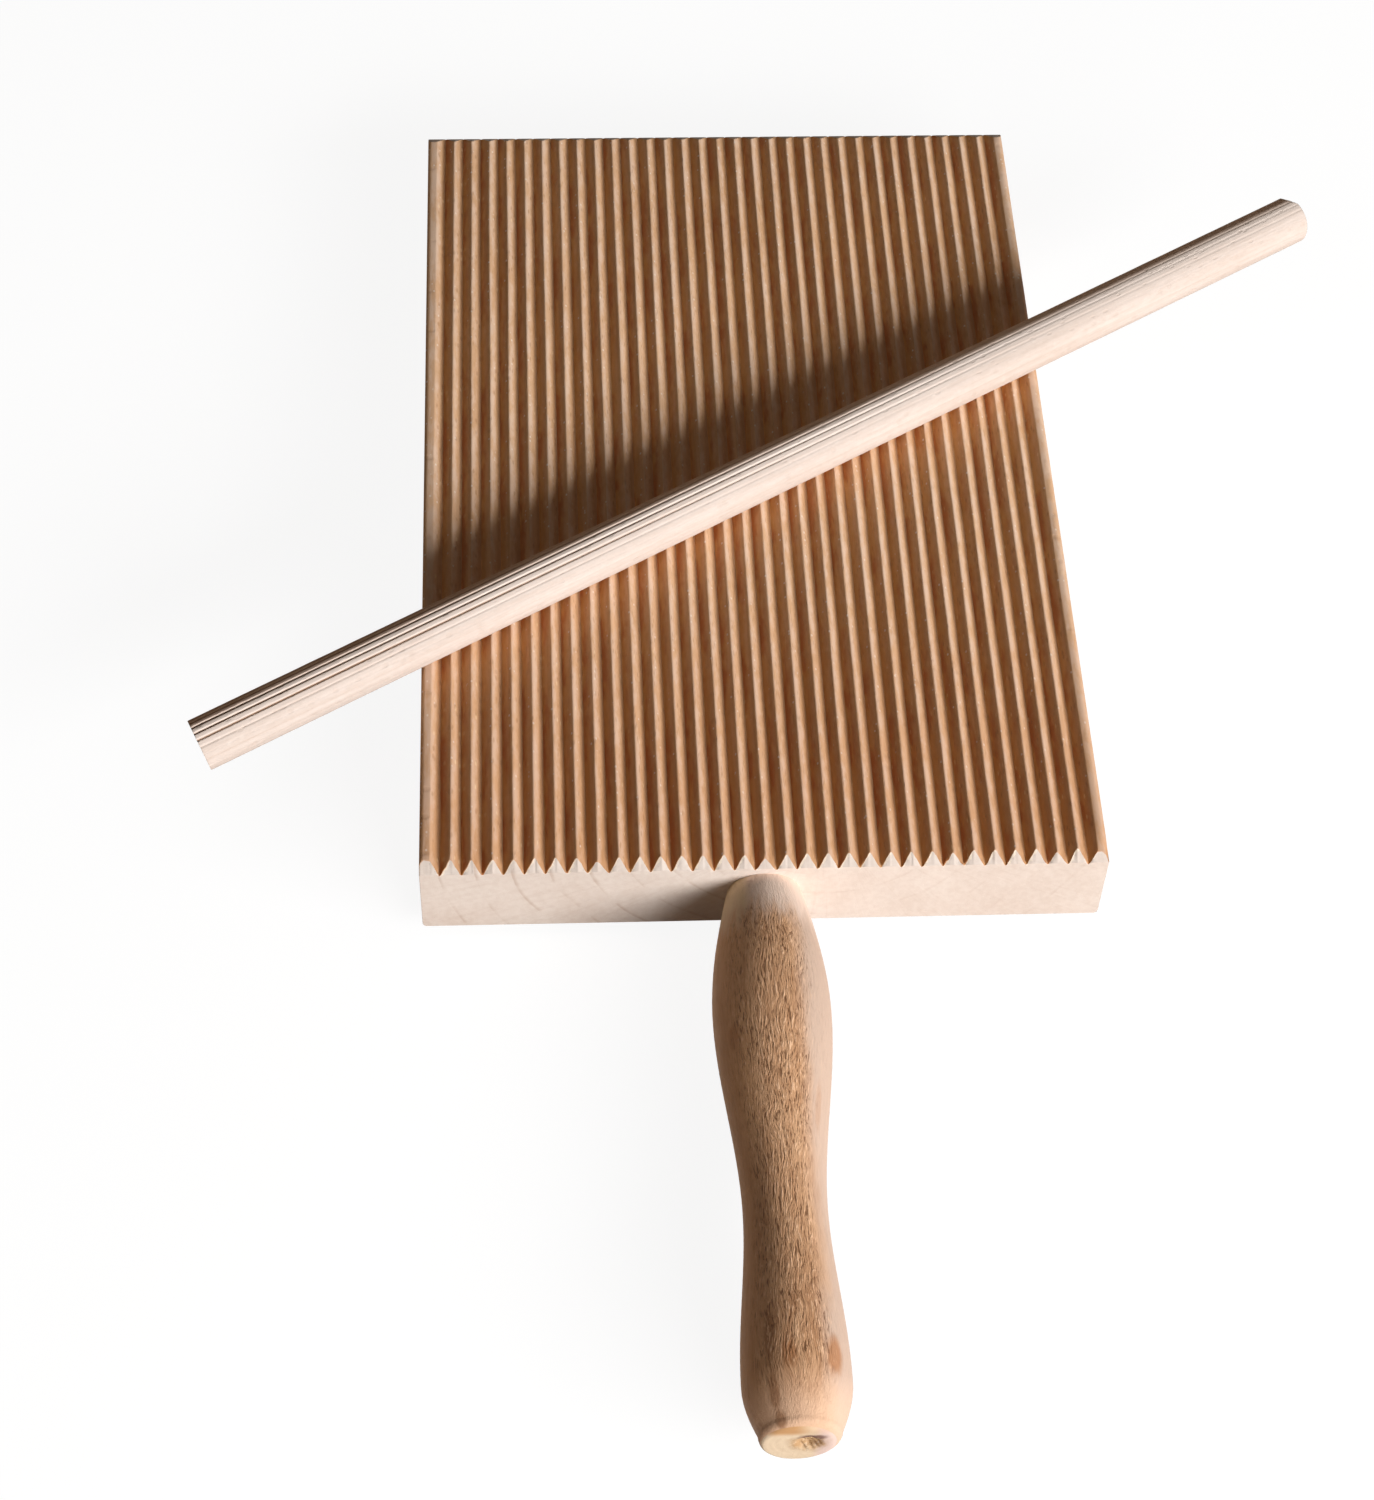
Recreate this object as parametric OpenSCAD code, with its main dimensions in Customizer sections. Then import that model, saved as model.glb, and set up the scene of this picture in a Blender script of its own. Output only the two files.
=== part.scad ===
// Grooved pasta board with a turned handle and a loose fluted rod, all of beech.
// The origin is the middle of the plank's underside. +Y runs along the grooves, away from the
// handle, and +Z points up out of the ridges.

/* [Board] */
// Width of the plank, across the grooves
board_w = 120; // [80:1:200]
// Length of the plank, along the grooves
board_l = 186; // [120:1:300]
// Thickness of the plank, from its underside to the ridge crests
board_t = 17.4; // [15:0.1:30]
// Radius on the plank's long upper edges
upper_edge_r = 1.2; // [0.3:0.1:1.5]
// Radius on the plank's long lower edges
lower_edge_r = 0.8; // [0.3:0.1:3]
// Length of the bevel on each end's upper edge, along the grooves
end_bevel_run = 2.3; // [0.5:0.1:5]
// Height of that bevel
end_bevel_drop = 1.5; // [0.5:0.1:4]

/* [Grooves] */
// Distance from one valley to the next
groove_pitch = 3.64; // [2.6:0.02:6]
// Depth from the crests to a valley
groove_depth = 1.6; // [0.8:0.1:4]
// Width of the flat crest between two grooves
crest_w = 0.3; // [0.1:0.05:1]
// Least width of the ridge beside each long edge
edge_ridge_w = 1.85; // [1.6:0.05:6]

/* [Handle] */
// Diameter of the neck at the plank
neck_d = 13.5; // [12:0.1:18]
// Diameter of the swell that fills the palm
swell_d = 20.4; // [15:0.1:28]
// Diameter of the waist
waist_d = 14.1; // [10:0.1:20]
// Diameter of the bulb near the end
bulb_d = 17.8; // [13:0.1:26]
// Diameter of the end face
end_d = 12.7; // [8:0.1:16]
// Distance from the plank to the middle of the swell
swell_from_plank = 25.2; // [15:0.1:45]
// Distance from the swell to the waist
waist_from_swell = 37.2; // [20:0.1:60]
// Distance from the waist to the bulb
bulb_from_waist = 30.6; // [15:0.1:50]
// Distance from the bulb to the end face
end_from_bulb = 9.9; // [6:0.1:20]
// Size of the eased rim of the end face
end_rim = 0.8; // [0.2:0.1:1.5]
// Diameter of the lathe centre's mark in the end face
centre_mark_d = 5; // [2:0.1:6]
// Depth of the lathe centre's mark
centre_mark_depth = 1.4; // [0.5:0.1:3]

/* [Tenon] */
// Diameter of the blind bore in the plank's near end
bore_d = 10; // [6:0.1:10.5]
// Depth of the blind bore
bore_depth = 27; // [15:0.5:40]
// Room for glue between tenon and bore, on the radius
glue_clearance = 0.05; // [0.02:0.01:0.2]
// Space left for glue at the bottom of the bore
glue_pocket = 2; // [0.5:0.5:4]

/* [Rod] */
// Diameter of the rod over its flutes
rod_d = 9.6; // [7:0.1:16]
// Length of the rod
rod_l = 250; // [150:1:320]
// Number of flutes round the rod
flute_count = 22; // [14:1:24]
// Width of a flute at the rod's surface
flute_w = 0.6; // [0.3:0.05:0.8]
// Depth of a flute
flute_depth = 0.45; // [0.2:0.05:0.8]
// Size of the eased rim at the rod's right end
rod_rim = 0.4; // [0.1:0.1:1.5]
// Angle by which the saw cut at the rod's left end turns off square, seen from above
left_cut_turn = 7.4; // [0:0.1:12]
// Angle by which that saw cut leans off square, seen from the side
left_cut_lean = 9.8; // [0:0.1:12]
// Angle of the resting rod, counted from across the plank
rod_angle = 31.1; // [0:0.1:60]
// Place of the rod's middle, to the right of the plank's middle
rod_x = 8.7; // [-20:0.1:20]
// Place of the rod's middle, beyond the plank's middle
rod_y = -4.4; // [-40:0.1:40]
// Height of the resting rod over the crests
rod_gap = 0.1; // [0.05:0.05:0.3]

/* [Hidden] */
$fn = 96;
// How far a cutter runs past the surface that it cuts
overrun = 1;
// Steps in each blend of the handle's outline
blend_steps = 12;
beech_light = "#e3c09c";
beech_warm = "#b98d68";
beech_pale = "#f0d9c4";
groove_w = groove_pitch - crest_w;
groove_count = floor((board_w - 2 * edge_ridge_w - groove_w) / groove_pitch) + 1;
first_valley = -(groove_count - 1) * groove_pitch / 2;
solid_t = board_t - groove_depth;
handle_z = solid_t / 2;
swell_at = swell_from_plank;
waist_at = swell_at + waist_from_swell;
bulb_at = waist_at + bulb_from_waist;
handle_l = bulb_at + end_from_bulb;
tenon_l = bore_depth - glue_pocket;
rod_z = board_t + rod_gap + rod_d / 2;
// Length beyond the rod's left end, before the saw cut
spare_l = rod_d / 2;

// Square less a quarter circle, which rounds the corner of a rectangle at the origin
module corner_cutter(r) {
    difference() {
        translate([-overrun, -overrun]) square(r + overrun);
        translate([r, r]) circle(r);
    }
}

// Cross-section of the plank, with its ridges up
module plank_section() {
    valley_cut = overrun * groove_w / (2 * groove_depth);
    difference() {
        translate([-board_w / 2, 0]) square([board_w, board_t]);
        for (side = [0, 1]) {
            mirror([side, 0]) translate([-board_w / 2, 0]) corner_cutter(lower_edge_r);
            mirror([side, 0]) translate([-board_w / 2, board_t]) mirror([0, 1])
                corner_cutter(upper_edge_r);
        }
        for (i = [0 : groove_count - 1]) {
            translate([first_valley + i * groove_pitch, solid_t])
                polygon([
                    [0, 0],
                    [groove_w / 2 + valley_cut, groove_depth + overrun],
                    [-groove_w / 2 - valley_cut, groove_depth + overrun]
                ]);
        }
    }
}

// Prism that bevels the upper edge of the plank's near end
module end_bevel_cutter() {
    translate([-board_w / 2 - overrun, 0, 0]) rotate([90, 0, 90])
        linear_extrude(board_w + 2 * overrun) polygon([
            [-board_l / 2 - end_bevel_run, board_t - 2 * end_bevel_drop],
            [-board_l / 2 + 2 * end_bevel_run, board_t + end_bevel_drop],
            [-board_l / 2 - end_bevel_run, board_t + end_bevel_drop]
        ]);
}

// Plank with its ridges, bevelled ends and the blind bore for the handle's tenon
module grooved_board() {
    color(beech_light)
    difference() {
        translate([0, board_l / 2, 0]) rotate([90, 0, 0])
            linear_extrude(board_l) plank_section();
        for (side = [0, 1]) mirror([0, side, 0]) end_bevel_cutter();
        translate([0, bore_depth - board_l / 2, handle_z]) rotate([90, 0, 0])
            cylinder(d = bore_d, h = bore_depth + overrun);
    }
}

// Points of a smooth S-shaped blend between two diameters, as [radius, distance] pairs
function blend(from_d, to_d, from_at, to_at) = [
    for (i = [1 : blend_steps])
        let (t = i / blend_steps, ease = (1 - cos(180 * t)) / 2)
            [(from_d + (to_d - from_d) * ease) / 2, from_at + (to_at - from_at) * t]
];

// Points of the neck, which opens steadily from the plank to the swell
function neck_curve() = [
    for (i = [0 : blend_steps])
        let (t = i / blend_steps)
            [(neck_d + (swell_d - neck_d) * sin(90 * t)) / 2, swell_at * t]
];

// Points from the bulb to the eased rim, which close in steadily
function end_curve() = [
    for (i = [1 : blend_steps])
        let (t = i / blend_steps)
            [(end_d + (bulb_d - end_d) * cos(90 * t)) / 2, bulb_at + (end_from_bulb - end_rim) * t]
];

// Turned handle with its tenon, which stands in the bore of the plank
module handle() {
    outline = concat(
        [[0, 0]],
        neck_curve(),
        blend(swell_d, waist_d, swell_at, waist_at),
        blend(waist_d, bulb_d, waist_at, bulb_at),
        end_curve(),
        [[end_d / 2 - end_rim, handle_l], [0, handle_l]]
    );
    color(beech_warm)
    translate([0, -board_l / 2, handle_z]) rotate([90, 0, 0]) {
        difference() {
            rotate_extrude() polygon(outline);
            translate([0, 0, handle_l - centre_mark_depth])
                cylinder(d1 = centre_mark_d / 3, d2 = centre_mark_d, h = centre_mark_depth);
        }
        translate([0, 0, -tenon_l])
            cylinder(r = bore_d / 2 - glue_clearance, h = tenon_l);
    }
}

// Cross-section of the rod, with a crest at the bottom, where it rests
module rod_section() {
    pitch_angle = 360 / flute_count;
    rim_cut = overrun * flute_w / (2 * flute_depth);
    difference() {
        circle(d = rod_d);
        for (i = [0 : flute_count - 1]) {
            rotate((i + 0.5) * pitch_angle - 90) translate([rod_d / 2 - flute_depth, 0])
                polygon([
                    [0, 0],
                    [flute_depth + overrun, flute_w / 2 + rim_cut],
                    [flute_depth + overrun, -flute_w / 2 - rim_cut]
                ]);
        }
    }
}

// Outline of a bar with an eased rim at its right end, turned round its own axis
module eased_bar() {
    rotate_extrude() polygon([
        [0, -spare_l],
        [rod_d / 2, -spare_l],
        [rod_d / 2, rod_l - rod_rim],
        [rod_d / 2 - rod_rim, rod_l],
        [0, rod_l]
    ]);
}

// Block that saws off the rod's left end, slightly off square
module left_cutter() {
    rotate([left_cut_turn, -left_cut_lean, 0]) translate([-rod_d, -rod_d, -2 * spare_l])
        cube([2 * rod_d, 2 * rod_d, 2 * spare_l]);
}

// Loose fluted rod, resting on the crests
module rolling_rod() {
    color(beech_pale)
    translate([rod_x, rod_y, rod_z]) rotate([0, 0, rod_angle]) rotate([0, 90, 0])
        translate([0, 0, -rod_l / 2]) difference() {
            intersection() {
                translate([0, 0, -spare_l]) linear_extrude(rod_l + spare_l) rod_section();
                eased_bar();
            }
            left_cutter();
        }
}

grooved_board();
handle();
rolling_rod();
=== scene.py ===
import math

import bpy
import numpy as np
from mathutils import Matrix, Vector


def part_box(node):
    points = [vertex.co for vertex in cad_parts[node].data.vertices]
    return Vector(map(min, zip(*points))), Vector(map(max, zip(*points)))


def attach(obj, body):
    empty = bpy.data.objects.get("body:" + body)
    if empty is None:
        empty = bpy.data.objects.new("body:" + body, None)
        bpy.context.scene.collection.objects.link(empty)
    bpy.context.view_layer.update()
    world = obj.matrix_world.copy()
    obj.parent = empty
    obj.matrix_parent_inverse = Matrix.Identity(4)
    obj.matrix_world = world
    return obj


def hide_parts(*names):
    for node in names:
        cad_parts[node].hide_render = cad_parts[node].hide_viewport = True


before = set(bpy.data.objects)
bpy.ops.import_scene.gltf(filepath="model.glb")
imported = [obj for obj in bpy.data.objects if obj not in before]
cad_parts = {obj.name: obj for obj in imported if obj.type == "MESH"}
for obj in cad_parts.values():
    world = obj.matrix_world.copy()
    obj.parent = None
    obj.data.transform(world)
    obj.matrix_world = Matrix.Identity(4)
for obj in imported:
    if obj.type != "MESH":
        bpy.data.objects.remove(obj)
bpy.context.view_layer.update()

MM = 0.001

# Places read from the frame, in millimetres
BOARD_LOW, BOARD_HIGH = (np.array(corner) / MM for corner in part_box("grooved_board"))
HANDLE_LOW, HANDLE_HIGH = (np.array(corner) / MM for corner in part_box("handle"))
ROD_LOW, ROD_HIGH = (np.array(corner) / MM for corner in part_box("rolling_rod"))
BOARD_W = BOARD_HIGH[0] - BOARD_LOW[0]
BOARD_T = BOARD_HIGH[2]
NEAR_Y = BOARD_LOW[1]
FAR_Y = BOARD_HIGH[1]
TIP_Y = HANDLE_LOW[1]
HANDLE_L = NEAR_Y - TIP_Y
HANDLE_Z = (HANDLE_LOW[2] + HANDLE_HIGH[2]) / 2
TENON_L = HANDLE_HIGH[1] - NEAR_Y

# Board, in millimetres
GROOVE_PITCH = 3.64
GROOVE_DEPTH = 1.6
CREST_W = 0.3
EDGE_RIDGE_W = 1.85
UPPER_EDGE_R = 1.2
LEFT_EDGE_R = 0.75
LOWER_EDGE_R = 0.8
END_BEVEL_RUN = 2.3
END_BEVEL_DROP = 1.5
END_EASE = 0.05
LEAST_BEVEL = 0.05
GROOVE_W = GROOVE_PITCH - CREST_W
GROOVE_COUNT = int((BOARD_W - 2 * EDGE_RIDGE_W - GROOVE_W) / GROOVE_PITCH) + 1
FIRST_VALLEY = -(GROOVE_COUNT - 1) * GROOVE_PITCH / 2
SOLID_T = BOARD_T - GROOVE_DEPTH
BRINK_Z = BOARD_T - END_BEVEL_DROP
UNDER_X = BOARD_W / 2 - LOWER_EDGE_R
# Height at which the dense strip of each end face stops
STRIP_Z = SOLID_T - 1.6

# Wear of the board, in millimetres
MOST_WEAR = 0.14
TEAR_DEPTH = 0.7
FRAY_DEPTH = 0.16
CORNER_DENT = 0.5

# Handle, in millimetres
NECK_D = 13.5
SWELL_D = 20.4
WAIST_D = 14.1
BULB_D = 17.8
END_D = 12.7
SWELL_AT = 25.2
WAIST_AT = 62.4
BULB_AT = 93.0
END_RIM = 0.8
END_ROUND = 1.7
TENON_R = 4.95
TENON_BEVEL = 0.5
BORE_R = 5.0
BORE_DEPTH = 27.0
BORE_OVERRUN = 1.0
PIT_X = 1.15
PIT_R = 2.5
PIT_MIDDLE_DEPTH = 1.2

# Rod, in millimetres
ROD_D = 9.6
ROD_R = ROD_D / 2
ROD_L = 250.0
ROD_ANGLE = math.radians(31.1)
ROD_RIM = 0.4
FLUTE_COUNT = 22
FLUTE_W = 0.6
FLUTE_DEPTH = 0.45
LEFT_CUT_TURN = math.radians(7.4)
LEFT_CUT_LEAN = math.radians(9.8)
SLANT_L = 14.0
CHIP_ANGLE = math.radians(118)
CHIP_REACH = 0.76 * ROD_R
CHIP_SLOPE = 0.9
END_INSET = 0.03
END_DENT = 0.03
ROD_MIDDLE = np.array([8.7, -4.4, (ROD_LOW[2] + ROD_HIGH[2]) / 2])
ROD_AXIS = np.array([math.cos(ROD_ANGLE), math.sin(ROD_ANGLE), 0.0])
ROD_SIDE = np.array([math.sin(ROD_ANGLE), -math.cos(ROD_ANGLE), 0.0])
UP = np.array([0.0, 0.0, 1.0])
# Turn that brings the rod's axis onto Y
ROD_TURN = math.pi / 2 - ROD_ANGLE

# Fineness of the meshes: steps along each piece in millimetres, sides round it, and sharp edges
BOARD_STEP = 1.6
HANDLE_STEP = 0.55
ROD_STEP = 2.2
HANDLE_SIDES = 112
BORE_SIDES = 64
RIM_STEPS = 8
FACE_STEPS = 24
SHARP_DEGREES = 35
HANDLE_SHARP_DEGREES = 50
# Steps away from a piece's end, where its rings of points lie closer together
FINE_STEPS = (0.0, 0.12, 0.3, 0.55, 0.9, 1.4, 2.1, 3.0, 4.2)

# Seeds of the ripples
SLOW_WANDER, QUICK_WANDER, SLOW_WEAR, QUICK_WEAR, RIDGE_TEARS, END_TEARS = range(11, 17)
COARSE_TURNING, FINE_TURNING, SANDING, NECK_TEARS, PIT_TEARS, SWIRL = range(21, 27)
UNEVEN_FLUTES, ROD_SURFACE, ROD_ENDS = range(31, 34)

# Growth rings: their middle, across and up, and the gap from one to the next, in millimetres
BOARD_PITH = (10.0, 30.0)
BOARD_RING_GAP = 6.5
HANDLE_PITH = (-6.0, -60.0)
HANDLE_RING_GAP = 3.4
ROD_PITH = (30.0, -40.0)
ROD_RING_GAP = 4.0
# Size of a ray round the rings, along the grain and away from the pith, in millimetres
RAY_SIZE = (0.42, 2.5, 12.0)

# Colours of the board
BOARD_PALE = (0.82, 0.51, 0.29)
BOARD_DEEP = (0.62, 0.34, 0.16)
BOARD_FLECK = (0.4, 0.19, 0.09)
PLANED_SIDE = (0.8, 0.6, 0.45)
# Painted shade low in the valleys, golden and red, with a browner copy for the slopes that face the lamp
VALLEY_SHADE_PALE = (0.74, 0.37, 0.11)
VALLEY_SHADE_DEEP = (0.57, 0.21, 0.075)
VALLEY_SHADE_LIT_SLOPE = (0.5, 0.3, 0.17)
# Pale crests, partly worn wood and partly a painted highlight
CREST_WEAR_AND_HIGHLIGHT = (0.81, 0.595, 0.45)
TORN_SPECK = (0.88, 0.72, 0.6)
NEAR_SHADE = (0.89, 0.81, 0.76)
FACE_PALE = (0.78, 0.685, 0.615)
FACE_DEEP = (0.52, 0.38, 0.3)
TOOTH_FRINGE = (0.94, 0.8, 0.64)

# Colours of the handle
HANDLE_PALE = (0.74, 0.445, 0.255)
HANDLE_DEEP = (0.49, 0.255, 0.13)
TICK_DARK = (0.147, 0.0612, 0.0234)
TICK_HIGHLIGHT = (1.0, 0.65625, 0.41875)
# Painted shade on the handle's left side and painted sheen on its right side
LEFT_SHADE = (0.72, 0.4, 0.2)
RIGHT_SHEEN = (0.61, 0.47, 0.385)
NECK_RUB = (0.88, 0.7, 0.59)
NECK_LEFT = (0.74, 0.55, 0.27)
BARE_TIP = (0.7, 0.47, 0.33)
OCHRE = (0.45, 0.2, 0.085)
UMBER = (0.25, 0.1, 0.035)
TIP_PALE = (0.76, 0.62, 0.45)
TIP_DEEP = (0.54, 0.38, 0.25)
TIP_PINK = (0.66, 0.5, 0.45)
TIP_RIM_SHADE = (0.5, 0.25, 0.09)
PIT_BROWN = (0.42, 0.25, 0.12)
PIT_SHADOW = (0.13, 0.06, 0.05)

# Colours of the rod
ROD_PALE = (0.74, 0.64, 0.58)
ROD_DEEP = (0.62, 0.51, 0.44)
ROD_FLECK = (0.44, 0.3, 0.21)
# Painted light on the rod's top, painted shade on its back and in its flutes
ROD_TOP_LIGHT = (0.99, 0.86, 0.77)
ROD_BACK_SHADE = (0.76, 0.5, 0.34)
FLUTE_SHADE = (0.3, 0.16, 0.08)
SAWN_PALE = (0.66, 0.53, 0.42)
SAWN_DEEP = (0.5, 0.37, 0.27)

# Colours and strengths of the floor and of the surround
FLOOR_WHITE = (0.95, 0.95, 0.95, 1)
FLOOR_BOUNCE = (0.36, 0.255, 0.18, 1)
FLOOR_GLOW = 1.08
FLOOR_LIT_SHARE = 0.16
SURROUND_WARM = (1, 0.8, 0.63)
HORIZON_STRENGTH = 0.155
OVERHEAD_STRENGTH = 0.065

# Stains on the handle: colour, distance from the board, degrees round the axis, half sizes, strength
STAINS = (
    (OCHRE, 91.6, 50, (1.7, 3.4, 1.7), 0.85),
    (OCHRE, 91.6, 101, (1.3, 2.6, 1.3), 0.85),
    (OCHRE, 33.0, 137, (1.2, 2.6, 1.2), 0.6),
    (OCHRE, 46.0, 42, (0.8, 6.0, 0.8), 0.3),
    (UMBER, 88.0, 121, (0.9, 5.0, 1.1), 0.65),
    (UMBER, 97.5, 121, (0.9, 3.8, 1.1), 0.65),
    (UMBER, 101.5, 121, (0.9, 1.8, 1.1), 0.65),
)


def ease(t):
    """Smooth step from 0 to 1."""
    t = np.clip(t, 0.0, 1.0)
    return t * t * (3 - 2 * t)


def blend(a, b, t):
    """Smooth change from a to b while t goes from 0 to 1."""
    return a + (b - a) * (1 - np.cos(math.pi * t)) / 2


def ripple(seed, *coordinates):
    """Smooth repeatable noise between about -1 and 1, made of sine waves over coordinates in periods."""
    random = np.random.default_rng(seed)
    waves = 7
    total = 0.0
    for _ in range(waves):
        phase = random.uniform(0, 2 * math.pi)
        turn = sum(c * random.uniform(0.5, 1.6) * random.choice((-1, 1)) for c in coordinates)
        total = total + np.sin(2 * math.pi * turn + phase)
    return total / math.sqrt(waves) / 1.5


def stations(start, end, step):
    """Places from start to end that lie closer together near both ends."""
    near = start + np.array(FINE_STEPS)
    far = end - np.array(FINE_STEPS)[::-1]
    count = max(2, int(round((far[0] - near[-1]) / step)))
    middle = np.linspace(near[-1], far[0], count + 1)[1:-1]
    return np.concatenate([near, middle, far])


def handle_radius(s):
    """Radius of the turned outline at a distance s from the board."""
    neck = NECK_D + (SWELL_D - NECK_D) * np.sin(math.pi / 2 * np.clip(s / SWELL_AT, 0, 1))
    belly = blend(SWELL_D, WAIST_D, np.clip((s - SWELL_AT) / (WAIST_AT - SWELL_AT), 0, 1))
    flare = blend(WAIST_D, BULB_D, np.clip((s - WAIST_AT) / (BULB_AT - WAIST_AT), 0, 1))
    nose_share = np.clip((s - BULB_AT) / (HANDLE_L - END_RIM - BULB_AT), 0, 1)
    nose = END_D + (BULB_D - END_D) * np.cos(math.pi / 2 * nose_share)
    d = np.where(s < SWELL_AT, neck, np.where(s < WAIST_AT, belly, np.where(s < BULB_AT, flare, nose)))
    return d / 2


class Shell:
    """Collects points and faces of one closed mesh, in millimetres."""

    def __init__(self):
        self.points = []
        self.faces = []
        self.slots = []
        self.count = 0

    def add(self, points):
        """Adds an array of points and returns the indices that they get, in the array's shape."""
        points = np.asarray(points, float)
        flat = points.reshape(-1, 3)
        indices = np.arange(self.count, self.count + len(flat)).reshape(points.shape[:-1])
        self.points.append(flat)
        self.count += len(flat)
        return indices

    def face(self, corners, slot=0):
        self.faces.append([int(c) for c in corners])
        self.slots.append(slot)

    def grid(self, indices, slot=0, flip=False, closed=False):
        """Adds quads over a grid of indices. closed joins its last column to its first."""
        right = np.roll(indices, -1, axis=1) if closed else indices[:, 1:]
        left = indices if closed else indices[:, :-1]
        quads = np.stack([left[:-1], right[:-1], right[1:], left[1:]], -1).reshape(-1, 4)
        if flip:
            quads = quads[:, ::-1]
        self.faces.extend(quads.tolist())
        self.slots.extend([slot] * len(quads))

    def fan(self, ring, centre, slot=0, flip=False):
        """Closes a ring of indices with triangles round one centre index."""
        for a, b in zip(ring, np.roll(ring, -1)):
            self.face((b, a, centre) if flip else (a, b, centre), slot)

    def mesh(self, name, materials, sharp_degrees):
        mesh = bpy.data.meshes.new(name)
        mesh.from_pydata((np.concatenate(self.points) * MM).tolist(), [], self.faces)
        for material in materials:
            mesh.materials.append(material)
        mesh.polygons.foreach_set("material_index", self.slots)
        mesh.polygons.foreach_set("use_smooth", [True] * len(self.faces))
        mesh.update()
        mesh.set_sharp_from_angle(angle=math.radians(sharp_degrees))
        piece = bpy.data.objects.new(name, mesh)
        bpy.context.scene.collection.objects.link(piece)
        return piece


# Shader nodes


class Nodes:
    """Builds the shader nodes of one material or of the world."""

    def __init__(self, owner):
        self.owner = owner
        owner.use_nodes = True
        self.tree = owner.node_tree
        self.tree.nodes.clear()

    def add(self, kind, inputs=None, **settings):
        node = self.tree.nodes.new(kind)
        for key, value in settings.items():
            setattr(node, key, value)
        for key, value in (inputs or {}).items():
            socket = node.inputs[key]
            if isinstance(value, bpy.types.NodeSocket):
                self.tree.links.new(value, socket)
            else:
                socket.default_value = value
        return node

    def math(self, operation, a, b=0.0, c=0.0):
        return self.add("ShaderNodeMath", {0: a, 1: b, 2: c}, operation=operation).outputs[0]

    def vector(self, operation, a, b=(0, 0, 0), result="Vector"):
        return self.add("ShaderNodeVectorMath", {0: a, 1: b}, operation=operation).outputs[result]

    def combined(self, x=0.0, y=0.0, z=0.0):
        return self.add("ShaderNodeCombineXYZ", {0: x, 1: y, 2: z}).outputs[0]

    def split(self, vector):
        return self.add("ShaderNodeSeparateXYZ", {0: vector}).outputs

    def product(self, value, *factors):
        for factor in factors:
            value = self.math("MULTIPLY", value, factor)
        return value

    def total(self, *parts):
        """Sum of values, each given with its weight."""
        value = 0.0
        for part, weight in parts:
            value = self.math("MULTIPLY_ADD", part, weight, value)
        return value

    def spread(self, value, low, high, to_low=0.0, to_high=1.0):
        """Maps value from low..high to to_low..to_high smoothly."""
        inputs = {"Value": value, "From Min": low, "From Max": high, "To Min": to_low, "To Max": to_high}
        return self.add("ShaderNodeMapRange", inputs, interpolation_type="SMOOTHSTEP").outputs[0]

    def full(self, noise):
        """Stretches a noise over the whole range from 0 to 1."""
        return self.spread(noise, 0.3, 0.7)

    def mix(self, factor, a, b, blend_type="MIX"):
        """Mixes two colours, each an output or three numbers."""
        a, b = ((*c, 1) if isinstance(c, tuple) else c for c in (a, b))
        inputs = {"Factor": factor, 6: a, 7: b}
        return self.add("ShaderNodeMix", inputs, data_type="RGBA", blend_type=blend_type).outputs[2]

    def paint(self, colour, tint, *masks):
        """Lays a tint over a colour, as strongly as the product of the masks."""
        return self.mix(self.product(*masks), colour, tint)

    def noise(self, vector, scale, detail=2.0, roughness=0.5):
        inputs = {
            "Vector": self.vector("MULTIPLY", vector, scale),
            "Scale": 1.0,
            "Detail": detail,
            "Roughness": roughness,
        }
        return self.add("ShaderNodeTexNoise", inputs).outputs[0]

    def spots(self, vector, scale, inner, outer, share):
        """Mask of scattered soft ellipsoids, which a share of the cells hold."""
        inputs = {"Vector": self.vector("MULTIPLY", vector, scale), "Scale": 1.0}
        cells = self.add("ShaderNodeTexVoronoi", inputs)
        chance = self.add("ShaderNodeSeparateColor", {0: cells.outputs["Color"]}).outputs[0]
        near = self.spread(cells.outputs["Distance"], inner, outer, 1.0, 0.0)
        return self.product(near, self.math("LESS_THAN", chance, share))

    def spot(self, place, centre, size):
        """Soft mask of one ellipsoid, with its centre and half sizes in millimetres."""
        scaled = self.vector("DIVIDE", self.vector("SUBTRACT", place, centre), size)
        wobble = self.noise(place, (0.6, 0.25, 0.6), 2.0)
        away = self.math("MULTIPLY_ADD", wobble, 0.7, self.vector("LENGTH", scaled, result="Value"))
        return self.spread(away, 0.9, 1.7, 1.0, 0.0)

    def wood_place(self, turn):
        """Object coordinates in millimetres, turned so that Y runs along the grain."""
        place = self.add("ShaderNodeTexCoord").outputs["Object"]
        inputs = {"Vector": place, "Scale": (1 / MM,) * 3}
        scaled = self.add("ShaderNodeMapping", inputs).outputs[0]
        if not turn:
            return scaled
        return self.add("ShaderNodeMapping", {"Vector": scaled, "Rotation": (0, 0, turn)}).outputs[0]

    def normal(self):
        return self.add("ShaderNodeTexCoord").outputs["Normal"]

    def facing(self, direction):
        """How squarely the surface faces along a direction, from 0 to 1."""
        return self.math("ABSOLUTE", self.vector("DOT_PRODUCT", self.normal(), direction, "Value"))

    def seen(self):
        """1 for camera, glossy and transmission rays, and 0 for the rays that light the object."""
        path = self.add("ShaderNodeLightPath").outputs
        seen = self.math("MAXIMUM", path["Is Camera Ray"], path["Is Glossy Ray"])
        return self.math("MAXIMUM", seen, path["Is Transmission Ray"])

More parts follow.
